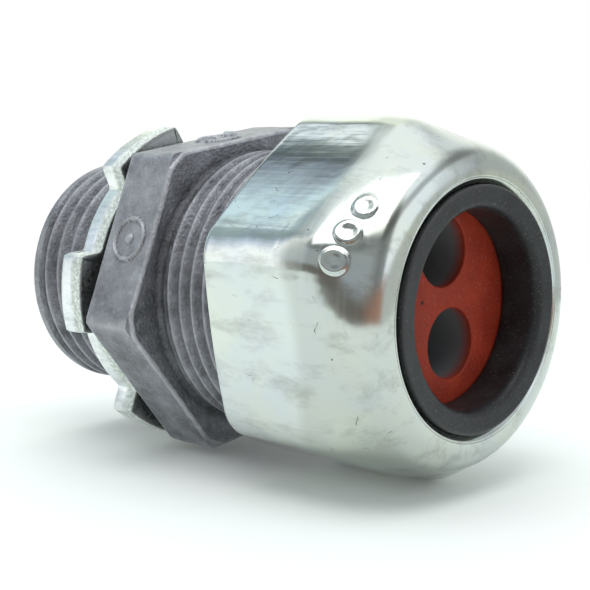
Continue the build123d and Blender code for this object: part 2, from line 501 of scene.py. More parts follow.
    domeShare = nodes.new("ShaderNodeMath")
    domeShare.label = "off the flats"
    domeShare.operation = "SUBTRACT"
    domeShare.inputs[0].default_value = 1
    domeMix = nodes.new("ShaderNodeMix")
    domeMix.label = "the drawn dome is duller"
    domeMix.data_type = "RGBA"
    domeMix.blend_type = "MULTIPLY"
    domeMix.inputs["B"].default_value = (0.82, 0.82, 0.8, 1)
    links.new(domeShare.outputs["Value"], domeMix.inputs["Factor"])
    links.new(smearMix.outputs["Result"], domeMix.inputs["A"])
    links.new(domeMix.outputs["Result"], nickMix.inputs["A"])
    for node, spot in (
            (paths, (-1500, 900)), (nearPath, (-1300, 900)), (broken, (-1500, 1150)),
            (kept, (-1300, 1150)), (scratches, (-1080, 1000)), (marred, (-620, -60)),
            (domeShare, (-620, 640)), (domeMix, (-420, 560)), (clouds, (-1500, 500)),
            (tints, (-1250, 500)), (smearPlace, (-1500, 230)), (smears, (-1300, 230)),
            (smearTones, (-1080, 230)), (smearShade, (-820, 230)), (smearMix, (-620, 420)),
            (nickCells, (-1500, -20)), (nickSize, (-1300, -20)), (nickPick, (-1300, -180)),
            (nickChance, (-1080, -180)), (nicks, (-820, -60)), (nickMix, (-420, 360))):
        node.parent, node.location = tintFrame, spot

    shearFrame = nodes.new("NodeFrame")
    shearFrame.label = "sheared edge and painted shade"
    sheared = nodes.new("ShaderNodeAttribute")
    sheared.label = "torn part of a stamped edge"
    sheared.attribute_name = "sheared"
    torn = nodes.new("ShaderNodeTexNoise")
    torn.label = "torn grain"
    torn.inputs["Scale"].default_value = 3800
    torn.inputs["Detail"].default_value = 4
    tornTones = nodes.new("ShaderNodeValToRGB")
    tornTones.label = "dark and bright crystals"
    tornTones.color_ramp.elements[0].position = 0.38
    tornTones.color_ramp.elements[0].color = (0.6, 0.63, 0.6, 1)
    tornTones.color_ramp.elements[1].position = 0.66
    tornTones.color_ramp.elements[1].color = (0.9, 0.95, 0.9, 1)
    shearMix = nodes.new("ShaderNodeMix")
    shearMix.label = "torn metal over the plate"
    shearMix.data_type = "RGBA"
    shearGloss = nodes.new("ShaderNodeMath")
    shearGloss.label = "torn metal scatters"
    shearGloss.operation = "MULTIPLY"
    shearGloss.inputs[1].default_value = 0.35
    shearHeight = nodes.new("ShaderNodeMath")
    shearHeight.label = "torn relief"
    shearHeight.operation = "MULTIPLY"
    links.new(place.outputs["Object"], torn.inputs["Vector"])
    links.new(torn.outputs["Fac"], tornTones.inputs["Fac"])
    links.new(sheared.outputs["Fac"], shearMix.inputs["Factor"])
    links.new(nickMix.outputs["Result"], shearMix.inputs["A"])
    links.new(tornTones.outputs["Color"], shearMix.inputs["B"])
    links.new(sheared.outputs["Fac"], shearGloss.inputs[0])
    links.new(torn.outputs["Fac"], shearHeight.inputs[0])
    links.new(sheared.outputs["Fac"], shearHeight.inputs[1])

    # painted shade where pieces meet, set on the locknut's flange-side face
    paintedShade = nodes.new("ShaderNodeAttribute")
    paintedShade.label = "where pieces meet"
    paintedShade.attribute_name = "paintedShade"
    paintedShadeMix = nodes.new("ShaderNodeMix")
    paintedShadeMix.label = "painted shade there"
    paintedShadeMix.data_type = "RGBA"
    paintedShadeMix.inputs["B"].default_value = (0.05, 0.052, 0.05, 1)
    links.new(paintedShade.outputs["Fac"], paintedShadeMix.inputs["Factor"])
    links.new(shearMix.outputs["Result"], paintedShadeMix.inputs["A"])
    for node, spot in (
            (sheared, (-820, 800)), (torn, (-820, 1000)), (tornTones, (-600, 1000)),
            (shearMix, (-220, 500)), (shearGloss, (-220, 750)), (shearHeight, (-220, 950)),
            (paintedShade, (-220, 300)), (paintedShadeMix, (0, 400))):
        node.parent, node.location = shearFrame, spot

    finishFrame = nodes.new("NodeFrame")
    finishFrame.label = "gloss and drawing lines"
    linePlace = nodes.new("ShaderNodeMapping")
    linePlace.label = "lines run lengthwise on the flats"
    linePlace.inputs["Scale"].default_value = (0.04, 1, 1)
    lines = nodes.new("ShaderNodeTexNoise")
    lines.label = "drawing lines"
    lines.inputs["Scale"].default_value = grainScale
    lines.inputs["Detail"].default_value = 3
    ringPlace = nodes.new("ShaderNodeMapping")
    ringPlace.label = "lines run round the dome"
    ringPlace.inputs["Scale"].default_value = (1, 0.03, 0.03)
    rings = nodes.new("ShaderNodeTexNoise")
    rings.label = "turning lines"
    rings.inputs["Scale"].default_value = grainScale
    rings.inputs["Detail"].default_value = 2
    flat = nodes.new("ShaderNodeAttribute")
    flat.label = "1 on a flat, 0 on the dome"
    flat.attribute_name = "flat"
    lineMix = nodes.new("ShaderNodeMix")
    lineMix.label = "lines by place"
    lineMix.data_type = "FLOAT"
    glossRange = nodes.new("ShaderNodeMapRange")
    glossRange.label = "gloss varies with the lines"
    glossRange.inputs["From Min"].default_value = 0.3
    glossRange.inputs["From Max"].default_value = 0.7
    glossRange.inputs["To Min"].default_value = gloss * 0.6
    glossRange.inputs["To Max"].default_value = gloss * 1.5
    smearGloss = nodes.new("ShaderNodeMath")
    smearGloss.label = "smears are duller"
    smearGloss.operation = "MULTIPLY_ADD"
    smearGloss.inputs[1].default_value = 0.14
    domeGloss = nodes.new("ShaderNodeMath")
    domeGloss.label = "the dome is duller"
    domeGloss.operation = "MULTIPLY_ADD"
    domeGloss.inputs[1].default_value = 0.07
    allGloss = nodes.new("ShaderNodeMath")
    allGloss.label = "plate and torn edge"
    allGloss.operation = "ADD"
    lineBump = nodes.new("ShaderNodeBump")
    lineBump.label = "relief of the lines"
    lineBump.inputs["Strength"].default_value = 0.34
    lineBump.inputs["Distance"].default_value = 0.00002
    nickBump = nodes.new("ShaderNodeBump")
    nickBump.label = "nicks are sunk"
    nickBump.invert = True
    nickBump.inputs["Strength"].default_value = 0.5
    nickBump.inputs["Distance"].default_value = 0.00006
    ripples = nodes.new("ShaderNodeTexNoise")
    ripples.label = "ripples of the drawn shell"
    ripples.inputs["Scale"].default_value = 330
    ripples.inputs["Detail"].default_value = 2
    rippleBump = nodes.new("ShaderNodeBump")
    rippleBump.label = "reflections waver"
    rippleBump.inputs["Strength"].default_value = 0.35
    rippleBump.inputs["Distance"].default_value = 0.0001
    shearBump = nodes.new("ShaderNodeBump")
    shearBump.label = "relief of the torn edge"
    shearBump.inputs["Strength"].default_value = 0.6
    shearBump.inputs["Distance"].default_value = shearDepth
    links.new(place.outputs["Object"], linePlace.inputs["Vector"])
    links.new(linePlace.outputs["Vector"], lines.inputs["Vector"])
    links.new(place.outputs["Object"], ringPlace.inputs["Vector"])
    links.new(ringPlace.outputs["Vector"], rings.inputs["Vector"])
    links.new(flat.outputs["Fac"], lineMix.inputs["Factor"])
    links.new(flat.outputs["Fac"], domeShare.inputs[1])
    links.new(rings.outputs["Fac"], lineMix.inputs["A"])
    links.new(lines.outputs["Fac"], lineMix.inputs["B"])
    links.new(lineMix.outputs["Result"], glossRange.inputs["Value"])
    links.new(smearTones.outputs["Color"], smearGloss.inputs[0])
    links.new(glossRange.outputs["Result"], smearGloss.inputs[2])
    links.new(domeShare.outputs["Value"], domeGloss.inputs[0])
    links.new(smearGloss.outputs["Value"], domeGloss.inputs[2])
    links.new(domeGloss.outputs["Value"], allGloss.inputs[0])
    links.new(shearGloss.outputs["Value"], allGloss.inputs[1])
    links.new(lineMix.outputs["Result"], lineBump.inputs["Height"])
    links.new(marred.outputs["Value"], nickBump.inputs["Height"])
    links.new(lineBump.outputs["Normal"], nickBump.inputs["Normal"])
    links.new(place.outputs["Object"], ripples.inputs["Vector"])
    links.new(ripples.outputs["Fac"], rippleBump.inputs["Height"])
    links.new(nickBump.outputs["Normal"], rippleBump.inputs["Normal"])
    links.new(shearHeight.outputs["Value"], shearBump.inputs["Height"])
    links.new(rippleBump.outputs["Normal"], shearBump.inputs["Normal"])
    for node, spot in (
            (linePlace, (-1500, -420)), (lines, (-1300, -420)), (ringPlace, (-1500, -700)),
            (rings, (-1300, -700)), (flat, (-1300, -950)), (lineMix, (-1050, -560)),
            (glossRange, (-820, -420)), (smearGloss, (-600, -300)), (domeGloss, (-420, -250)),
            (allGloss, (-220, -250)), (lineBump, (-600, -560)), (nickBump, (-420, -560)),
            (ripples, (-820, -800)), (rippleBump, (-220, -560)), (shearBump, (0, -560))):
        node.parent, node.location = finishFrame, spot

    metal = nodes.new("ShaderNodeBsdfPrincipled")
    metal.label = "zinc plate"
    metal.inputs["Metallic"].default_value = 1.0
    output = nodes.new("ShaderNodeOutputMaterial")
    output.label = "plating"
    links.new(paintedShadeMix.outputs["Result"], metal.inputs["Base Color"])
    links.new(allGloss.outputs["Value"], metal.inputs["Roughness"])
    links.new(shearBump.outputs["Normal"], metal.inputs["Normal"])
    links.new(metal.outputs["BSDF"], output.inputs["Surface"])
    for node, spot in ((place, (-1800, 0)), (metal, (250, 0)), (output, (550, 0))):
        node.location = spot
    return material


def softCompound(name, dark, light, dull, sheen, speckPlace, speckSize):
    # moulded rubber or nylon: two close tones, dust in the pores, a fine matt skin, and one
    # dark speck of radius speckSize at speckPlace
    # painted shade darkens the walls deep in a hole
    material = bpy.data.materials.new(name)
    nodes, links = emptyTree(material)

    place = nodes.new("ShaderNodeTexCoord")
    place.label = "place on the moulding"

    colourFrame = nodes.new("NodeFrame")
    colourFrame.label = "colour of the compound"
    marbling = nodes.new("ShaderNodeTexNoise")
    marbling.label = "uneven mixing"
    marbling.inputs["Scale"].default_value = 420
    marbling.inputs["Detail"].default_value = 5
    tones = nodes.new("ShaderNodeValToRGB")
    tones.label = "tones of the compound"
    tones.color_ramp.elements[0].position = 0.3
    tones.color_ramp.elements[0].color = (*dark, 1)
    tones.color_ramp.elements[1].position = 0.72
    tones.color_ramp.elements[1].color = (*light, 1)
    pores = nodes.new("ShaderNodeTexNoise")
    pores.label = "pores"
    pores.inputs["Scale"].default_value = 6500
    pores.inputs["Detail"].default_value = 2
    dustTones = nodes.new("ShaderNodeValToRGB")
    dustTones.label = "dust in a few pores"
    dustTones.color_ramp.elements[0].position = 0.62
    dustTones.color_ramp.elements[0].color = (0, 0, 0, 1)
    dustTones.color_ramp.elements[1].position = 0.8
    dustTones.color_ramp.elements[1].color = (0.35, 0.35, 0.35, 1)
    dustMix = nodes.new("ShaderNodeMix")
    dustMix.label = "dust over the compound"
    dustMix.data_type = "RGBA"
    dustMix.inputs["B"].default_value = (0.4, 0.39, 0.38, 1)
    rub = nodes.new("ShaderNodeAttribute")
    rub.label = "rubbed edge"
    rub.attribute_name = "wearAndPaintedLight"
    rubMix = nodes.new("ShaderNodeMix")
    rubMix.label = "paler where rubbed"
    rubMix.data_type = "RGBA"
    rubMix.inputs["B"].default_value = (*[0.45 * tone + 0.06 for tone in light], 1)
    deep = nodes.new("ShaderNodeAttribute")
    deep.label = "deep in a hole"
    deep.attribute_name = "hollow"
    # painted shade: the walls deep in a hole turn dark grey
    holeShadeMix = nodes.new("ShaderNodeMix")
    holeShadeMix.label = "painted shade deep in a hole"
    holeShadeMix.data_type = "RGBA"
    holeShadeMix.inputs["B"].default_value = (0.17, 0.185, 0.19, 1)
    speckAway = nodes.new("ShaderNodeVectorMath")
    speckAway.label = "distance from the speck"
    speckAway.operation = "DISTANCE"
    speckAway.inputs[1].default_value = tuple(v * mm for v in speckPlace)
    speck = nodes.new("ShaderNodeMath")
    speck.label = "inside the speck"
    speck.operation = "LESS_THAN"
    speck.inputs[1].default_value = speckSize * mm
    speckMix = nodes.new("ShaderNodeMix")
    speckMix.label = "dark speck"
    speckMix.data_type = "RGBA"
    speckMix.inputs["B"].default_value = (0.02, 0.01, 0.01, 1)
    links.new(place.outputs["Object"], marbling.inputs["Vector"])
    links.new(marbling.outputs["Fac"], tones.inputs["Fac"])
    links.new(place.outputs["Object"], pores.inputs["Vector"])
    links.new(pores.outputs["Fac"], dustTones.inputs["Fac"])
    links.new(dustTones.outputs["Color"], dustMix.inputs["Factor"])
    links.new(tones.outputs["Color"], dustMix.inputs["A"])
    links.new(rub.outputs["Fac"], rubMix.inputs["Factor"])
    links.new(dustMix.outputs["Result"], rubMix.inputs["A"])
    links.new(place.outputs["Object"], speckAway.inputs[0])
    links.new(speckAway.outputs["Value"], speck.inputs[0])
    links.new(speck.outputs["Value"], speckMix.inputs["Factor"])
    links.new(deep.outputs["Fac"], holeShadeMix.inputs["Factor"])
    links.new(rubMix.outputs["Result"], holeShadeMix.inputs["A"])
    links.new(holeShadeMix.outputs["Result"], speckMix.inputs["A"])
    for node, spot in (
            (marbling, (-1050, 350)), (tones, (-830, 350)), (pores, (-1050, 80)),
            (dustTones, (-830, 80)), (dustMix, (-520, 250)), (rub, (-830, -130)),
            (rubMix, (-330, 250)), (deep, (-830, -300)), (holeShadeMix, (-230, 60)),
            (speckAway, (-830, 560)), (speck, (-620, 560)), (speckMix, (-130, 250))):
        node.parent, node.location = colourFrame, spot

    finishFrame = nodes.new("NodeFrame")
    finishFrame.label = "matt skin"
    dullRange = nodes.new("ShaderNodeMapRange")
    dullRange.label = "gloss varies"
    dullRange.inputs["To Min"].default_value = dull - 0.1
    dullRange.inputs["To Max"].default_value = dull + 0.12
    skinBump = nodes.new("ShaderNodeBump")
    skinBump.label = "pores of the skin"
    skinBump.inputs["Strength"].default_value = 0.3
    skinBump.inputs["Distance"].default_value = 0.00004
    flowBump = nodes.new("ShaderNodeBump")
    flowBump.label = "slight waves of the moulding"
    flowBump.inputs["Strength"].default_value = 0.25
    flowBump.inputs["Distance"].default_value = 0.0002
    links.new(marbling.outputs["Fac"], dullRange.inputs["Value"])
    links.new(pores.outputs["Fac"], skinBump.inputs["Height"])
    links.new(marbling.outputs["Fac"], flowBump.inputs["Height"])
    links.new(skinBump.outputs["Normal"], flowBump.inputs["Normal"])
    for node, spot in (
            (dullRange, (-520, -250)), (skinBump, (-330, -400)), (flowBump, (-130, -400))):
        node.parent, node.location = finishFrame, spot

    skin = nodes.new("ShaderNodeBsdfPrincipled")
    skin.label = "compound"
    skin.inputs["Specular IOR Level"].default_value = sheen
    output = nodes.new("ShaderNodeOutputMaterial")
    output.label = "moulding"
    links.new(speckMix.outputs["Result"], skin.inputs["Base Color"])
    links.new(dullRange.outputs["Result"], skin.inputs["Roughness"])
    links.new(flowBump.outputs["Normal"], skin.inputs["Normal"])
    links.new(skin.outputs["BSDF"], output.inputs["Surface"])
    for node, spot in ((place, (-1300, 0)), (skin, (150, 0)), (output, (450, 0))):
        node.location = spot
    return material


bodyLook = {
    "columns": 272, "rowsPerPitch": 12, "endRound": 0.3, "fillet": 0.45,
    "hubRadius": 10.5, "hubPitch": inch / 14, "hubDepth": 0.8, "hubCrestAt": -10.55,
    "hubLand": (0.9, 1.3), "hubFade": (-2.2, -0.8),
    "throatRadius": 7.7, "seatStart": 13.0, "seatMouth": 10.1,
    "flangeFlats": 26.0, "flangeThickness": 5.75, "flangeTurn": 9, "flangeRound": 0.55,
    "flangeEdge": 0.3, "coneAt": 14.5, "coneSlope": 2.2,
    "neckRadius": 11.9, "neckPitch": inch / 18, "neckDepth": 0.5, "neckCrestAt": 6.75,
    "castWaves": 0.035, "sideRows": 58,
    "markTurns": (159, 99), "markCrowd": (10, 1.6), "markAt": 2.95, "markRadius": 1.75,
    "markLine": 0.17, "markDot": (0.25, 0.6), "markHeight": 0.28,
    # how rubbed the surfaces are, from 0 to 1; on the flats that face up it is painted light
    "hubRub": 0.9, "landRub": 0.4, "neckRub": 0.95, "rearRub": 0.9, "frontRub": 0.95,
    "upFlatPaintedLight": 0.55, "markRub": 0.5, "cornerRub": 0.9, "cornerSpread": 0.035,
    # how dark the hollows are, from 0 to 1; round the cast marks it is painted shade
    "hubRootDark": 0.35, "neckRootDark": 0.4, "neckCornerDark": 0.55, "markOutlineShade": 0.95,
}


def castMark(x, theta, look):
    # height of a plain ring with a dot in its middle, on the flats at markTurns: a rounded ridge
    # where the distance from the mark's middle equals markRadius; past half a radian from the
    # mark the distance across the flat stays as it is there
    total, widest = 0.0, 0.5
    for turn in look["markTurns"]:
        aside = np.clip(theta - math.radians(turn), -widest, widest)
        across = look["flangeFlats"] / 2 * np.tan(aside)
        away = np.hypot(x - look["markAt"], across)
        ring = np.exp(-(((away - look["markRadius"]) / look["markLine"]) ** 2))
        total = total + ring + 1 - easeStep(away, *look["markDot"])
    return look["markHeight"] * total


def makeConnectorBody(look):
    # one closed section turned round the axis; the flange's rows take the hexagon's radius, and
    # the threaded rows climb with the helix
    rear, front = stations("connector_body")
    crowd = [(turn, *look["markCrowd"]) for turn in look["markTurns"]]
    theta = columnAngles(look["columns"], crowd)
    rows, rounding, fillet = look["rowsPerPitch"], look["endRound"], look["fillet"]
    edge, thick = look["flangeEdge"], look["flangeThickness"]
    throat, seatStart, seatMouth = look["throatRadius"], look["seatStart"], look["seatMouth"]
    hubRoot = look["hubRadius"] - look["hubDepth"]
    neckRoot = look["neckRadius"] - look["neckDepth"]

    def flangeRadius(x):
        base = hexRadius(theta, look["flangeFlats"] / 2, look["flangeRound"], look["flangeTurn"])
        return np.minimum(base, look["coneAt"] + look["coneSlope"] * (thick - x))

    hubX = helixRows(rear + rounding, -fillet, look["hubPitch"], theta, rows)
    crest, hubWear = threadHeight(hubX, theta, look["hubPitch"], look["hubCrestAt"])
    fade = 1 - easeStep(hubX, *look["hubFade"])
    land = 1 - easeStep(hubX - rear, *look["hubLand"])
    hubR = hubRoot + look["hubDepth"] * np.maximum(crest * fade, land)
    neckStart, neckEnd = thick + fillet, front - rounding - 0.05
    neckX = helixRows(neckStart, neckEnd, look["neckPitch"], theta, rows)
    crest, neckWear = threadHeight(neckX, theta, look["neckPitch"], look["neckCrestAt"])
    fade = easeStep(neckX, neckStart, neckStart + 0.5)
    fade = fade * (1 - 0.8 * easeStep(neckX, front - 1.0, neckEnd))
    neckR = neckRoot + look["neckDepth"] * crest * fade
    sideX = np.linspace(edge, thick - edge, look["sideRows"])[:, None]
    marks = castMark(sideX, theta, look)
    rearR, frontR = flangeRadius(0.0), flangeRadius(thick)
    rearRoundX, rearRoundR = bend(edge, 0, edge, 180, 90)
    frontRoundX, frontRoundR = bend(thick - edge, 0, edge, 90, 0)
    seatX = np.linspace(front - 0.2, seatStart, 12)[:, None]
    slope = (seatMouth - throat) / (front - seatStart)
    # stretches start and end a few hundredths apart, so that no two rows coincide
    parts = [
        run(rear, throat + 0.4, rear, look["hubRadius"] - rounding - 0.05, 5),
        bend(rear + rounding, look["hubRadius"] - rounding, rounding, 180, 90),
        (hubX, hubR),
        bend(-fillet, hubRoot + fillet, fillet, -90, 0),
        run(0, hubRoot + fillet + 0.02, 0, rearR - edge - 0.02, 7),
        (rearRoundX, rearR - edge + rearRoundR),
        (sideX, flangeRadius(sideX) + marks),
        (frontRoundX, frontR - edge + frontRoundR),
        run(thick, frontR - edge - 0.02, thick, neckRoot + fillet + 0.02, 7),
        bend(thick + fillet, neckRoot + fillet, fillet, 180, 270),
        (neckX, neckR),
        bend(front - rounding, neckRoot - rounding, rounding, 90, 0, 4),
        run(front, neckRoot - rounding - 0.05, front, seatMouth + 0.2, 3),
        (seatX, throat + slope * (seatX - seatStart)),
        run(seatStart - 0.3, throat, rear + 0.4, throat, 16),
    ]
    x, r, starts = stackRows(parts, theta)
    onFlange = easeStep(x, -0.2, 0.4) * (1 - easeStep(x, thick - 0.4, thick + 0.2))
    outside = easeStep(r, throat + 0.5, throat + 1.5)
    waves = look["castWaves"] * unevenness(x, theta, 4, 26, 30)
    r = r + waves * outside * (0.25 + 0.75 * onFlange)

    hub, rearEdge, side, frontEdge, frontFace, neck, neckLip = (
        starts[k] for k in (2, 5, 6, 7, 8, 10, 11))
    wearAndPaintedLight, hollow = np.zeros_like(x), np.zeros_like(x)
    wearAndPaintedLight[hub:starts[3]] = np.maximum(hubWear, land * look["landRub"]) * look["hubRub"]
    hollow[hub:starts[3]] = look["hubRootDark"] * (1 - easeStep(hubR, hubRoot, hubRoot + 0.4))
    wearAndPaintedLight[neck:neckLip] = neckWear * look["neckRub"]
    hollow[neck:neckLip] = look["neckRootDark"] * (1 - easeStep(neckR, neckRoot, neckRoot + 0.35))
    wearAndPaintedLight[rearEdge:side] = look["rearRub"]
    wearAndPaintedLight[frontEdge:frontFace] = look["frontRub"]
    byNeck = 1 - easeStep(r[frontFace:neck], neckRoot, neckRoot + 1.2)
    hollow[frontFace:neck] = look["neckCornerDark"] * byNeck
    # flats that look up get painted light, the marks' ridges are rubbed paler and painted shade
    # outlines them
    paintedTopLight = easeStep(np.sin(theta), -0.2, 0.35)
    marks = marks / look["markHeight"]
    outline = np.clip(1 - np.abs(marks - 0.2) / 0.2, 0, 1)
    wearAndPaintedLight[side:frontEdge] = look["upFlatPaintedLight"] * paintedTopLight + look["markRub"] * np.clip(marks, 0, 1)
    hollow[side:frontEdge] = look["markOutlineShade"] * outline
    fromCorner = fromHexCorner(theta, look["flangeTurn"]) / look["cornerSpread"]
    corner = look["cornerRub"] * np.exp(-(fromCorner ** 2))
    wearAndPaintedLight[rearEdge:frontFace] = np.maximum(wearAndPaintedLight[rearEdge:frontFace], corner)
    makePiece("connectorBody", [(turned(x, r, theta), {"wearAndPaintedLight": wearAndPaintedLight, "hollow": hollow}, None)],
              "fitting_body", "connector_body", castZinc("castZinc"), 40)


makeConnectorBody(bodyLook)


washerLook = {
    "columns": 240, "radius": 12.2, "bore": 10.62, "bulge": 0.12, "edge": 0.28, "waves": 0.03,
}
noSpeck = (0, 0, -99)  # a place for the dark speck that is far from the piece


def makeSealingWasher(look):
    # a squeezed ring: straight faces, and an outer wall that bulges by a half sine between them
    rear, front = stations("sealing_washer")
    theta = columnAngles(look["columns"])
    edge, radius, bore = look["edge"], look["radius"], look["bore"]
    wallX = np.linspace(rear + edge, front - edge, 9)[:, None]
    bulge = look["bulge"] * np.sin(math.pi * (wallX - rear) / (front - rear))
    parts = [
        run(rear, bore + 0.1, rear, radius - edge, 5),
        bend(rear + edge, radius - edge, edge, 180, 100),
        (wallX, radius + bulge),
        bend(front - edge, radius - edge, edge, 80, 0),
        run(front, radius - edge - 0.05, front, bore + 0.1, 5),
        run(front - 0.1, bore, rear + 0.1, bore, 4),
    ]
    x, r, _ = stackRows(parts, theta)
    waves = look["waves"] * unevenness(x, theta, 8, 12, 14)
    r = r + waves * easeStep(r, bore + 0.3, radius)
    rubber = softCompound("washerRubber", (0.012, 0.012, 0.013), (0.03, 0.03, 0.032), 0.62, 0.4,
                          noSpeck, 0.1)
    makePiece("sealingWasher", [(turned(x, r, theta), {"wearAndPaintedLight": 0.0}, None)],
              "washer", "sealing_washer", rubber, 45)


makeSealingWasher(washerLook)


locknutLook = {
    "valley": 12.5, "lug": 14.45, "flank": 4.6,
    # middle and width of each lug, in degrees
    "lugs": ((1, 30), (57.5, 30), (118.5, 33), (181, 30), (243, 28), (301, 30)),
    "rollover": 0.5, "burnished": 1.45, "tear": 0.1, "roughness": 0.03, "outlineWaves": 0.05,
    "columns": 540, "frontPaintedShade": 0.5, "paintedShadeRows": (-2, 5),
    "threadRadius": 10.5, "threadPitch": inch / 14, "threadDepth": 0.72,
    "threadCrestAt": -10.55, "threadGap": 0.1, "rowsPerPitch": 10, "mouthRound": 0.15,
}


def lockOutline(look):
    # the stamped outline: valley radius plus the lug's height times an eased step up and down at
    # each flank, walked in equal steps of its own length; returns angle, radius and the normal
    theta = np.linspace(0, fullTurn, 14401)
    flank = math.radians(look["flank"])
    rise = 0.0
    for middle, width in look["lugs"]:
        away = np.abs(turnFrom(theta, middle))
        half = math.radians(width) / 2
        rise = rise + 1 - easeStep(away, half - flank / 2, half + flank / 2)
    radius = look["valley"] + (look["lug"] - look["valley"]) * rise
    radius = radius + look["outlineWaves"] * unevenness(0.0, theta, 21, 10, 9)
    y, z = radius * np.cos(theta), radius * np.sin(theta)
    length = np.concatenate([[0], np.cumsum(np.hypot(np.diff(y), np.diff(z)))])
    walk = np.linspace(0, length[-1], look["columns"])
    slopeY, slopeZ = np.gradient(y, length), np.gradient(z, length)
    slopeY[[0, -1]], slopeZ[[0, -1]] = slopeY[1], slopeZ[1]
    pick = [np.interp(walk, length, v) for v in (theta, y, z, slopeZ, -slopeY)]
    size = np.hypot(pick[3], pick[4])
    return pick[0][None, :], pick[1], pick[2], pick[3] / size, pick[4] / size


def makeLocknut(look):
    # rows run from the bore over the hub side, round the rolled edge, down the sheared wall and
    # back over the flange side; a wall row is the outline moved in along its normal by an inset
    rear, front = stations("locknut")
    theta, outY, outZ, normY, normZ = lockOutline(look)
    roll, tear, burnished = look["rollover"], look["tear"], look["burnished"]
    turn = np.radians(np.linspace(180, 90, 8))
    rollX, rollIn = rear + roll + roll * np.cos(turn), roll - roll * np.sin(turn)
    wallX = np.linspace(rear + roll + 0.08, front - 0.06, 18)
    wallIn = tear * easeStep(wallX - rear, burnished, burnished + 0.5)
    xs = np.concatenate([rollX, wallX, [front, front]])[:, None]
    insets = np.concatenate([rollIn, wallIn, [tear + 0.08, tear + 0.3]])[:, None]
    edgeTear = burnished + 0.25 * unevenness(0.0, theta, 5, 14, 40)
    torn = easeStep(xs - rear, edgeTear, edgeTear + 0.4) * (insets < 0.2)
    inset = insets - look["roughness"] * unevenness(xs, theta, 11, 40, 260) * torn
    wall = np.stack([np.broadcast_to(xs, inset.shape),
                     outY - inset * normY, outZ - inset * normZ], axis=-1)
    pitch = look["threadPitch"]
    boreX = helixRows(rear + 0.35, front - 0.35, pitch, theta, look["rowsPerPitch"])
    crest, _ = threadHeight(boreX, theta, pitch, look["threadCrestAt"])
    boreR = look["threadRadius"] - look["threadDepth"] * (1 - crest) + look["threadGap"]
    mouth = look["threadRadius"] + look["threadGap"] + look["mouthRound"]
    bore = turned(np.flip(boreX, 0), np.flip(boreR, 0), theta)
    rearRing, frontRing = (turned(np.full_like(theta, x), np.full_like(theta, mouth), theta)
                           for x in (rear, front))
    t = np.linspace(0, 1, 6)[1:-1, None, None]
    rearFace = rearRing + (wall[:1] - rearRing) * t
    frontFace = wall[-1:] + (frontRing - wall[-1:]) * t
    points = np.concatenate([rearRing, rearFace, wall, frontFace, frontRing, bore, rearRing])
    wallStart = len(rearRing) + len(rearFace)
    wallEnd = wallStart + len(wall)
    sheared = np.zeros(points.shape[:2])
    sheared[wallStart:wallEnd] = torn
    # painted shade on the flange-side face and the last rows of the wall, where the gap by the
    # washer lies in shade
    paintedShade = np.zeros(points.shape[:2])
    paintedShade[wallEnd + look["paintedShadeRows"][0]:wallEnd + look["paintedShadeRows"][1]] = look["frontPaintedShade"]
    steel = platedSteel("platedLocknut", (0.86, 0.9, 0.92), (0.9, 0.94, 0.88), 0.3, 2600, 0.00012)
    makePiece("locknut", [(points, {"sheared": sheared, "flat": 1.0, "paintedShade": paintedShade}, None)],
              "locknut", "locknut", steel, 38)


makeLocknut(locknutLook)


nutLook = {
    "flats": 26.5, "cornerRound": 3.0, "turn": 39.8, "crown": 0.36, "crownEnd": 0.8,
    "columns": 400, "cornerCrowd": (6, 0.7), "pipCrowd": (165, 16, 1.6),
    "domeStart": 22.0, "domeRadius": 13.85, "coneFirst": 7, "coneLast": 16, "coneLength": 6.05,
    "noseSlope": 88, "noseLength": 3.5, "domeRows": 112, "blend": 0.05,
    "cornerCarry": 0.88, "cornerFade": (24.5, 28.8), "rearRound": 0.45,
    "mouth": 9.65, "mouthRound": 0.12, "shoulder": 28.0, "shellWaves": 0.012,
    "threadRadius": 11.9, "threadPitch": inch / 18, "threadDepth": 0.6, "threadCrestAt": 6.75,
    "threadGap": 0.1, "threadEnd": 24.6, "threadRunOut": 0.6, "rowsPerPitch": 10,
    # station and direction of each pip, and its shape
    "pips": ((27.2, 141), (26.9, 151), (26.7, 161)), "pipRadius": 1.05, "pipHeight": 0.18,
    "pipRim": 0.3, "pipDish": 0.75, "pipRough": 0.45,
}


def domeCurve(look, front):
    # the dome's section: its slope grows with the square of the length along the cone, then
    # eases to noseSlope along the nose; adding up small steps in that slope's direction gives
    # the curve, which is stretched a little to end at front
    length = look["coneLength"] + look["noseLength"]
    s = np.linspace(0, length, look["domeRows"])
    cone = np.clip(s / look["coneLength"], 0, 1) ** 2
    nose = np.clip((s - look["coneLength"]) / look["noseLength"], 0, 1)
    slope = look["coneFirst"] + (look["coneLast"] - look["coneFirst"]) * cone
    turnIn = (nose + easeStep(nose, 0, 1)) / 2
    slope = np.radians(slope + (look["noseSlope"] - look["coneLast"]) * turnIn)
    x = np.concatenate([[0], np.cumsum(s[1] * np.cos(slope[1:]))])
    r = look["domeRadius"] - np.concatenate([[0], np.cumsum(s[1] * np.sin(slope[1:]))])
    x = look["domeStart"] + x * (front - look["domeStart"]) / x[-1]
    return x[:, None], r[:, None]


def softMin(a, b, blend):
    # the smaller of two radii, with the crease between them rounded over about blend
    low = np.minimum(a, b)
    return low - blend * np.log(np.exp(-(a - low) / blend) + np.exp(-(b - low) / blend))


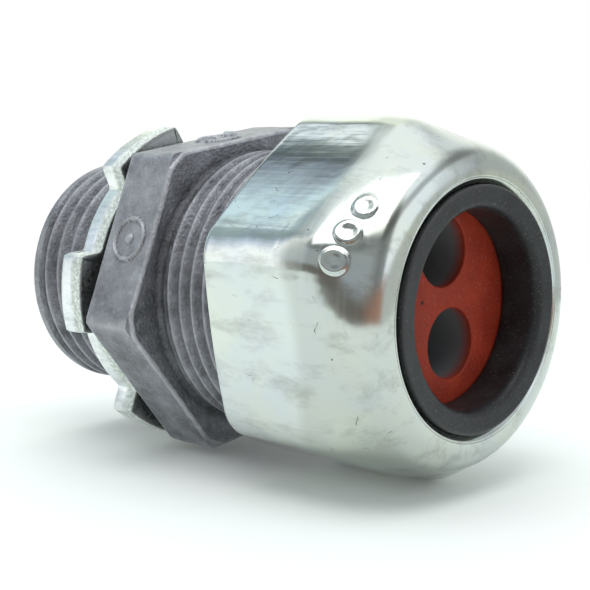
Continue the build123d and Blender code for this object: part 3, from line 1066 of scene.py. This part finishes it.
def makeGlandNut(look):
    # rows run from the rear edge along the hexagon and over the dome to the mouth, then back
    # through the bore and its helical thread
    rear, front = stations("gland_nut")
    corners = [(look["turn"] + 60 * k, *look["cornerCrowd"]) for k in range(6)]
    theta = columnAngles(look["columns"], corners + [look["pipCrowd"]])
    hexagon = hexRadius(theta, look["flats"] / 2, look["cornerRound"], look["turn"])
    # crown of the flats: 1 - s^2 across a flat, its slope led back to nothing over the corner
    crownEnd = look["crownEnd"]
    s = np.abs(((theta - math.radians(look["turn"])) % (fullTurn / 6)) / (fullTurn / 12) - 1)
    past = np.clip(s - crownEnd, 0, None)
    back = past ** 2 * crownEnd / (1 - crownEnd)
    crown = 1 - np.minimum(s, crownEnd) ** 2 - 2 * crownEnd * past + back
    hexagon = hexagon + look["crown"] * crown
    domeX, domeR = domeCurve(look, front)
    noseEnd = domeR[-1, 0]
    # the hexagon's corners carry on into the dome and fade towards the mouth
    carry = look["cornerCarry"] * (1 - easeStep(domeX, *look["cornerFade"]))
    domeR = domeR + carry * (hexagon - look["flats"] / 2 - look["crown"])
    flatness = easeStep(domeR - hexagon, -0.05, 0.15)
    # dished round pips: a rim pipRim wide round a hollow of pipDish of the height
    pips, pipRadius = 0.0, look["pipRadius"]
    for along, turn in look["pips"]:
        away = np.hypot(domeX - along, domeR * (theta - math.radians(turn)))
        dish = 1 - look["pipDish"] * (1 - easeStep(away, 0.15, pipRadius - 0.25))
        pips = pips + (1 - easeStep(away, pipRadius - look["pipRim"], pipRadius)) * dish
    ragged = 1 + look["pipRough"] * unevenness(domeX, theta, 7, 30, 60)
    outR = softMin(hexagon, domeR, look["blend"]) + look["pipHeight"] * pips * ragged
    boreR = look["threadRadius"] + look["threadGap"]
    threadStart, threadEnd, runOut = rear + 0.7, look["threadEnd"], look["threadRunOut"]
    threadX = helixRows(threadStart, threadEnd, look["threadPitch"], theta, look["rowsPerPitch"])
    crest, _ = threadHeight(threadX, theta, look["threadPitch"], look["threadCrestAt"])
    fade = easeStep(threadX, threadStart, threadStart + runOut)
    fade = fade * (1 - easeStep(threadX, threadEnd - runOut, threadEnd))
    threadR = boreR - look["threadDepth"] * (1 - crest) * fade
    rounding, lip = look["rearRound"], look["mouthRound"]
    rearX, rearR = bend(rear + rounding, 0, rounding, 180, 90, 6)
    mouth, shoulder = look["mouth"], look["shoulder"]
    parts = [
        run(rear, boreR + 0.6, rear, hexagon - rounding - 0.03, 4),
        (rearX, hexagon - rounding + rearR),
        run(rear + 0.7, hexagon, look["domeStart"] - 0.1, hexagon, 22),
        (domeX, outR),
        bend(front - lip, noseEnd - lip, lip, 45, -60, 4),
        run(front - 0.3, mouth, shoulder + 0.1, mouth, 5),
        run(shoulder, mouth + 0.1, shoulder, boreR - 1.1, 4),
        run(shoulder - 0.1, boreR - 1.0, shoulder - 1.2, boreR, 4),
        run(shoulder - 1.4, boreR, threadEnd + 0.1, boreR, 4),
        (np.flip(threadX, 0), np.flip(threadR, 0)),
        run(rear + 0.5, boreR, rear + 0.1, boreR + 0.45, 3),
    ]
    x, r, starts = stackRows(parts, theta)
    outside = easeStep(r, boreR + 0.3, boreR + 0.9) * easeStep(x, rear, rear + 1)
    r = r + look["shellWaves"] * unevenness(x, theta, 31, 30, 16) * outside
    flat = np.ones_like(x)
    dome, mouthRows, bore = starts[3], starts[4], starts[9]
    flat[dome:mouthRows] = flatness
    flat[mouthRows:bore] = 0
    marks = {"flat": flat, "sheared": 0.0, "paintedShade": 0.0}
    steel = platedSteel("platedNut", (0.64, 0.69, 0.7), (0.68, 0.72, 0.65), 0.07, 2200, 0.0)
    makePiece("glandNut", [(turned(x, r, theta), marks, None)],
              "gland_nut", "gland_nut", steel, 50)


makeGlandNut(nutLook)


ringLook = {
    "columns": 320, "outer": 9.58, "bore": 7.7, "annulus": 8.35, "dish": 0.12, "lip": 0.6,
    "edge": 0.22, "flange": 11.6, "shoulder": 28.0, "rearRound": 0.2, "waves": 0.015,
    "edgeRub": 0.5, "rubWidth": 0.12,
}


def makeThrustRing(look):
    # a turned section: collar that fills the mouth, slightly dished front, rounded inner lip,
    # straight bore, and the flange that the nut's shoulder pushes on
    rear, front = stations("thrust_ring")
    theta = columnAngles(look["columns"])
    edge, lip, rounding, dish = look["edge"], look["lip"], look["rearRound"], look["dish"]
    bore, outer, annulus = look["bore"], look["outer"], look["annulus"]
    flange, shoulder = look["flange"], look["shoulder"]
    lipTurn = np.radians(np.linspace(12, 90, 12))[:, None]
    lipX = front - dish - lip * 1.5 * (1 - np.cos(lipTurn))
    lipR = annulus - (annulus - bore) * np.sin(lipTurn)
    parts = [
        run(rear, bore + 0.2, rear, flange - rounding, 5),
        bend(rear + rounding, flange - rounding, rounding, 180, 90, 4),
        run(rear + 0.3, flange, shoulder - 1.35, flange, 3),
        run(shoulder - 1.2, flange - 0.02, shoulder - 0.08, flange - 1.15, 4),
        run(shoulder - 0.05, flange - 1.25, shoulder - 0.05, outer + 0.05, 3),
        run(shoulder, outer, front - edge - 0.02, outer, 5),
        bend(front - edge, outer - edge, edge, 90, 0, 7),
        run(front - 0.005, outer - edge - 0.05, front - dish, annulus, 8),
        (lipX, lipR),
        run(lipX[-1, 0] - 0.05, bore, rear + 0.2, bore, 8),
    ]
    x, r, _ = stackRows(parts, theta)
    x = x + look["waves"] * unevenness(0.0, theta, 17, 12, 8) * easeStep(x, front - 1.2, front)
    fromEdge = (r - outer + 0.1) / look["rubWidth"]
    wearAndPaintedLight = look["edgeRub"] * np.exp(-(fromEdge ** 2)) * easeStep(x, front - 0.4, front)
    nylon = softCompound("ringNylon", (0.012, 0.013, 0.0137), (0.027, 0.03, 0.0315), 0.42, 0.3,
                         noSpeck, 0.1)
    makePiece("thrustRing", [(turned(x, r, theta), {"wearAndPaintedLight": wearAndPaintedLight}, None)],
              "gland_pack", "thrust_ring", nylon, 45)


makeThrustRing(ringLook)


grommetLook = {
    "holeRadius": 2.8, "holeOffset": 3.72, "holeTurn": 98, "holeMiddle": (0.5, 0.62),
    "holeEdge": 0.16, "holeDark": (0.2, 1.5), "nose": 7.4, "noseEdge": 0.3,
    "taperStart": 15.42, "taperMiddle": 19.7, "taperEnd": 24.0, "shank": 7.6, "face": 9.4,
    "edge": 0.3, "lineColumns": 60, "rimColumns": 160, "speck": (26.4, -2.6, 0.5),
    "speckSize": 0.16,
}


def makeGrommet(look):
    # two halves, one round each cable hole: rays join the hole's circle to the half disc's edge,
    # which is the dividing line and then the rim; the rows follow the section from the hole over
    # the front face, down the taper, over the rear face and back through the hole
    rear, front = stations("grommet")
    middle = np.array(look["holeMiddle"])
    turn = math.radians(look["holeTurn"])
    along = np.array([math.cos(turn), math.sin(turn)])
    level = float(middle @ along)
    grids = []
    for side in (1, -1):
        centre = middle + side * look["holeOffset"] * along
        outward = side * along
        lead = np.array([-outward[1], outward[0]])
        reach = side * level

        def boundary(radius):
            # from one end of the dividing line to the other, then round the rim back again
            half = math.sqrt(radius ** 2 - level ** 2)
            line = np.linspace(half, -half, look["lineColumns"] + 1)
            lineY = reach * outward[0] + line * lead[0]
            lineZ = reach * outward[1] + line * lead[1]
            first = math.atan2(-half, reach)
            sweep = np.linspace(first, -first, look["rimColumns"] + 1)[1:]
            rimY = radius * (np.cos(sweep) * outward[0] + np.sin(sweep) * lead[0])
            rimZ = radius * (np.cos(sweep) * outward[1] + np.sin(sweep) * lead[1])
            return np.concatenate([lineY, rimY]), np.concatenate([lineZ, rimZ])

        faceY, faceZ = boundary(look["face"])
        towards = np.unwrap(np.arctan2(faceZ - centre[1], faceY - centre[0]))
        holeY, holeZ = np.cos(towards), np.sin(towards)

        def ring(x, radius):
            y, z = centre[0] + radius * holeY, centre[1] + radius * holeZ
            return np.stack([np.full_like(y, x), y, z], -1)

        def rim(x, radius):
            y, z = boundary(radius)
            return np.stack([np.full_like(y, x), y, z], -1)

        hole, soft = look["holeRadius"], look["holeEdge"]
        face, shank, nose, edge = look["face"], look["shank"], look["nose"], look["edge"]
        arc = np.radians(np.linspace(0, 90, 6))
        rise, inward = 1 - np.sin(arc), 1 - np.cos(arc)
        lip = [ring(front - soft * a, hole + soft * b) for a, b in zip(rise, inward)]
        outer = rim(front, face - edge)
        inner = ring(front, hole + soft)
        spread = np.linspace(0, 1, 11)[1:, None, None]
        faceRows = list(inner + (outer - inner) * spread)
        sideRows = [rim(front - edge * b, face - edge * a)
                    for a, b in zip(rise[1:], inward[1:])]
        for x, radius in ((look["taperEnd"], face), (look["taperMiddle"], (face + shank) / 2),
                          (look["taperStart"], shank), (rear + look["noseEdge"], nose)):
            sideRows.append(rim(x, radius))
        back = rim(rear, nose - look["noseEdge"])
        backHole = ring(rear, hole)
        backRows = list(back + (backHole - back) * np.linspace(0, 1, 5)[:, None, None])
        wallRows = [ring(x, hole) for x in np.linspace(rear, front - soft, 12)[1:]]
        loop = np.stack(lip + faceRows + sideRows + backRows + wallRows)
        # no side wall along the dividing line, where the halves meet
        keep = np.ones((loop.shape[0] - 1, loop.shape[1] - 1), bool)
        firstSide = len(lip) + len(faceRows) - 1
        keep[firstSide:firstSide + len(sideRows) + 1, :look["lineColumns"]] = False
        # painted shade down the walls of the cable holes, darker the deeper it goes
        radial = np.hypot(loop[..., 1] - centre[0], loop[..., 2] - centre[1])
        inHole = (radial < hole + 0.01) * easeStep(front - loop[..., 0], *look["holeDark"])
        grids.append((loop, {"wearAndPaintedLight": 0.0, "hollow": inHole}, keep))
    rubber = softCompound("grommetRubber", (0.24, 0.023, 0.009), (0.34, 0.035, 0.013), 0.55, 0.22,
                          look["speck"], look["speckSize"])
    makePiece("grommet", grids, "gland_pack", "grommet", rubber, 40)


makeGrommet(grommetLook)


stageLook = {
    # lengths here are in metres, apart from the lens
    "floorDrop": 0.00005, "floorSize": 0.12, "floorTone": (0.9, 0.93, 0.9), "floorGlow": 0.06,
    "lampPlace": (0.05, -0.12, 0.35), "lampTarget": (0.01, 0, 0), "lampSize": 0.3,
    "lampPower": 0.5,
    "azimuth": 44.03, "elevation": 7.04, "distance": 0.0986, "aim": (0.01985, -0.00982, 0.00119),
    "lens": 79.32,
}


def makeFloor(look):
    # a broad disc under the object: rings whose radius grows with the square of their number
    rings, spokes, weld = 12, 96, 1e-6
    low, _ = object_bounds()
    turn = np.linspace(0, fullTurn, spokes + 1)[None, :]
    radius = look["floorSize"] * np.linspace(0, 1, rings + 1)[:, None] ** 2
    x = radius * np.cos(turn) + look["aim"][0]
    y = radius * np.sin(turn)
    points = np.stack([x, y, np.full_like(x, low.z - look["floorDrop"])], -1)
    quads = gridFaces(*x.shape).reshape(-1, 4)
    mesh = bpy.data.meshes.new("studioFloor")
    mesh.from_pydata(points.reshape(-1, 3).tolist(), [], quads.tolist())
    work = bmesh.new()
    work.from_mesh(mesh)
    bmesh.ops.remove_doubles(work, verts=work.verts, dist=weld)
    bmesh.ops.recalc_face_normals(work, faces=work.faces)
    work.to_mesh(mesh)
    work.free()
    material = bpy.data.materials.new("paleFloor")
    nodes, links = emptyTree(material)
    paint = nodes.new("ShaderNodeBsdfPrincipled")
    paint.label = "pale matt floor that glows a little"
    paint.location = (0, 0)
    paint.inputs["Base Color"].default_value = (*look["floorTone"], 1)
    paint.inputs["Roughness"].default_value = 0.9
    paint.inputs["Specular IOR Level"].default_value = 0.1
    paint.inputs["Emission Color"].default_value = (*look["floorTone"], 1)
    paint.inputs["Emission Strength"].default_value = look["floorGlow"]
    output = nodes.new("ShaderNodeOutputMaterial")
    output.label = "floor"
    output.location = (300, 0)
    links.new(paint.outputs["BSDF"], output.inputs["Surface"])
    mesh.materials.append(material)
    floor = bpy.data.objects.new("studioFloor", mesh)
    scene.collection.objects.link(floor)
    floor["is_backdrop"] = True


worldLook = {
    # degrees round the studio from +X, and the light there above the horizon
    "panels": ((-180, (0.93, 1.15, 1.28)), (-178, (0.82, 1.05, 1.15)), (-176, (1.22, 1.38, 1.4)),
               (-175, (1.05, 1.2, 1.3)), (-174.2, (0.56, 0.7, 0.8)), (-165, (0.48, 0.58, 0.6)),
               (-152, (0.4, 0.5, 0.54)), (-147, (0.6, 0.68, 0.8)), (-142, (0.9, 0.96, 1.1)),
               (-137, (1.4, 1.42, 1.42)), (-124, (0.75, 0.8, 0.85)), (-105, (0.52, 0.56, 0.6)),
               (-60, (0.5, 0.53, 0.55)), (-30, (0.3, 0.32, 0.33)), (-13, (0.4, 0.42, 0.44)),
               (-2, (1.35, 1.4, 1.5)), (35, (1.3, 1.38, 1.45)), (55, (0.6, 0.63, 0.66)),
               (85, (0.65, 0.68, 0.7)), (110, (1.15, 1.2, 1.2)), (146, (1.35, 1.4, 1.25)),
               (154.5, (0.6, 0.66, 0.55)), (157.3, (0.25, 0.3, 0.38)), (160.4, (1.3, 1.38, 1.4)),
               (161.9, (1.2, 1.28, 1.32)), (163.4, (0.42, 0.49, 0.5)), (167, (0.13, 0.16, 0.17)),
               (168.6, (0.16, 0.19, 0.22)), (169.8, (0.32, 0.37, 0.45)),
               (173, (0.48, 0.56, 0.65)), (177, (0.65, 0.8, 0.9)), (180, (0.93, 1.15, 1.28))),
    # the same near the horizon
    "horizon": ((-180, (0.75, 0.8, 0.76)), (-148, (0.75, 0.8, 0.76)), (-141, (1.35, 1.38, 1.4)),
                (-132, (1.35, 1.38, 1.4)), (-124, (0.6, 0.62, 0.6)), (-110, (0.24, 0.24, 0.22)),
                (-75, (0.2, 0.17, 0.15)), (-45, (0.4, 0.22, 0.17)), (-8, (0.55, 0.32, 0.24)),
                (10, (0.7, 0.72, 0.7)), (180, (0.75, 0.8, 0.76))),
    # how far the dim ring under the ceiling reaches round the studio
    "ringReach": ((-180, 0.1), (-130, 0.2), (-108, 1), (75, 1), (100, 0.1), (180, 0.1)),
    "horizonTop": (0.08, 0.17), "ceilingFrom": (0.8, 0.9), "ceiling": (1.4, 1.45, 1.5),
    # heights and strengths of the dim ring; 1 leaves the panels as they are
    "dimRing": ((0.56, 1), (0.64, 0.5), (0.74, 0.5), (0.82, 1)),
    "backdrop": (1, 1, 1),
}


def makeWorld(look):
    # soft studio light from bright and dim panels that differ by direction, under a bright
    # ceiling; the backdrop itself is plain white
    world = bpy.data.worlds.new("softStudio")
    nodes, links = emptyTree(world)
    wallFrame = nodes.new("NodeFrame")
    wallFrame.label = "walls by direction"
    heightFrame = nodes.new("NodeFrame")
    heightFrame.label = "horizon and ceiling"
    chooseFrame = nodes.new("NodeFrame")
    chooseFrame.label = "light or backdrop"
    direction = nodes.new("ShaderNodeTexCoord")
    direction.label = "direction"
    split = nodes.new("ShaderNodeSeparateXYZ")
    split.label = "parts of the direction"
    around = nodes.new("ShaderNodeMath")
    around.label = "angle round the studio"
    around.operation = "ARCTAN2"
    share = nodes.new("ShaderNodeMapRange")
    share.label = "angle as a share of a turn"
    share.inputs["From Min"].default_value = -math.pi
    share.inputs["From Max"].default_value = math.pi
    panels = nodes.new("ShaderNodeValToRGB")
    panels.label = "panels"
    horizon = nodes.new("ShaderNodeValToRGB")
    horizon.label = "near the horizon"
    ring = nodes.new("ShaderNodeValToRGB")
    ring.label = "dim ring under the ceiling"
    ringReach = nodes.new("ShaderNodeValToRGB")
    ringReach.label = "where the dim ring reaches"
    reach = [(angle, (value,) * 3) for angle, value in look["ringReach"]]
    for ramp, stops in ((panels, look["panels"]), (horizon, look["horizon"]), (ringReach, reach)):
        for angle, tone in stops[1:-1]:
            ramp.color_ramp.elements.new((angle + 180) / 360).color = (*tone, 1)
        ramp.color_ramp.elements[0].color = (*stops[0][1], 1)
        ramp.color_ramp.elements[-1].color = (*stops[-1][1], 1)
    for height, value in look["dimRing"]:
        ring.color_ramp.elements.new(height).color = (value, value, value, 1)
    for end in (0, -1):
        ring.color_ramp.elements[end].color = (1, 1, 1, 1)
    dimmed = nodes.new("ShaderNodeMix")
    dimmed.label = "panels with the dim ring"
    dimmed.data_type = "RGBA"
    dimmed.blend_type = "MULTIPLY"
    aboveHorizon = nodes.new("ShaderNodeMapRange")
    aboveHorizon.label = "above the horizon band"
    aboveHorizon.inputs["From Min"].default_value = look["horizonTop"][0]
    aboveHorizon.inputs["From Max"].default_value = look["horizonTop"][1]
    ceilingEdge = nodes.new("ShaderNodeMapRange")
    ceilingEdge.label = "in the ceiling"
    ceilingEdge.inputs["From Min"].default_value = look["ceilingFrom"][0]
    ceilingEdge.inputs["From Max"].default_value = look["ceilingFrom"][1]
    walls = nodes.new("ShaderNodeMix")
    walls.label = "horizon and panels"
    walls.data_type = "RGBA"
    room = nodes.new("ShaderNodeMix")
    room.label = "walls and ceiling"
    room.data_type = "RGBA"
    room.inputs["B"].default_value = (*look["ceiling"], 1)
    studio = nodes.new("ShaderNodeBackground")
    studio.label = "light on the object"
    backdrop = nodes.new("ShaderNodeBackground")
    backdrop.label = "plain backdrop"
    backdrop.inputs["Color"].default_value = (*look["backdrop"], 1)
    path = nodes.new("ShaderNodeLightPath")
    path.label = "seen directly or lighting"
    choose = nodes.new("ShaderNodeMixShader")
    choose.label = "backdrop behind, studio around"
    output = nodes.new("ShaderNodeOutputWorld")
    output.label = "studio"
    links.new(direction.outputs["Generated"], split.inputs["Vector"])
    links.new(split.outputs["Y"], around.inputs[0])
    links.new(split.outputs["X"], around.inputs[1])
    links.new(around.outputs["Value"], share.inputs["Value"])
    links.new(share.outputs["Result"], panels.inputs["Fac"])
    links.new(share.outputs["Result"], horizon.inputs["Fac"])
    links.new(share.outputs["Result"], ringReach.inputs["Fac"])
    links.new(split.outputs["Z"], ring.inputs["Fac"])
    links.new(split.outputs["Z"], aboveHorizon.inputs["Value"])
    links.new(split.outputs["Z"], ceilingEdge.inputs["Value"])
    links.new(panels.outputs["Color"], dimmed.inputs["A"])
    links.new(ring.outputs["Color"], dimmed.inputs["B"])
    links.new(ringReach.outputs["Color"], dimmed.inputs["Factor"])
    links.new(aboveHorizon.outputs["Result"], walls.inputs["Factor"])
    links.new(horizon.outputs["Color"], walls.inputs["A"])
    links.new(dimmed.outputs["Result"], walls.inputs["B"])
    links.new(ceilingEdge.outputs["Result"], room.inputs["Factor"])
    links.new(walls.outputs["Result"], room.inputs["A"])
    links.new(room.outputs["Result"], studio.inputs["Color"])
    links.new(path.outputs["Is Camera Ray"], choose.inputs["Fac"])
    links.new(studio.outputs["Background"], choose.inputs[1])
    links.new(backdrop.outputs["Background"], choose.inputs[2])
    links.new(choose.outputs["Shader"], output.inputs["Surface"])
    for node, spot in (
            (around, (-1100, 150)), (share, (-900, 150)), (panels, (-650, 300)),
            (horizon, (-650, 50)), (ring, (-650, -200)), (ringReach, (-650, 550)),
            (dimmed, (-350, 200))):
        node.parent, node.location = wallFrame, spot
    for node, spot in (
            (aboveHorizon, (-650, -450)), (ceilingEdge, (-650, -700)), (walls, (-150, 100)),
            (room, (50, 0))):
        node.parent, node.location = heightFrame, spot
    for node, spot in (
            (studio, (250, 0)), (backdrop, (250, -200)), (path, (250, 350)), (choose, (480, 0))):
        node.parent, node.location = chooseFrame, spot
    for node, spot in ((direction, (-1500, 0)), (split, (-1300, 0)), (output, (700, 0))):
        node.location = spot
    scene.world = world


def makeLight(look):
    # a square soft box above the object
    light = bpy.data.lights.new("topSoftBox", "AREA")
    light.size = look["lampSize"]
    light.energy = look["lampPower"]
    lamp = bpy.data.objects.new("topSoftBox", light)
    lamp.location = look["lampPlace"]
    lamp.rotation_mode = "QUATERNION"
    down = Vector(look["lampTarget"]) - Vector(look["lampPlace"])
    lamp.rotation_quaternion = down.to_track_quat("-Z", "Y")
    scene.collection.objects.link(lamp)


def makeCamera(look):
    # looks at aim from an elevation and an azimuth round Z, counted from -Y towards +X
    az, el = math.radians(look["azimuth"]), math.radians(look["elevation"])
    back = Vector((math.sin(az) * math.cos(el), -math.cos(az) * math.cos(el), math.sin(el)))
    data = bpy.data.cameras.new("studioCamera")
    data.lens = look["lens"]
    data.sensor_width = 36
    data.clip_start = 0.005
    camera = bpy.data.objects.new("studioCamera", data)
    camera.location = Vector(look["aim"]) + back * look["distance"]
    camera.rotation_mode = "QUATERNION"
    camera.rotation_quaternion = (-back).to_track_quat("-Z", "Y")
    scene.collection.objects.link(camera)
    scene.camera = camera


makeFloor(stageLook)
makeWorld(worldLook)
makeLight(stageLook)
makeCamera(stageLook)
scene.view_settings.view_transform = "Standard"
print("floor, light and camera made")
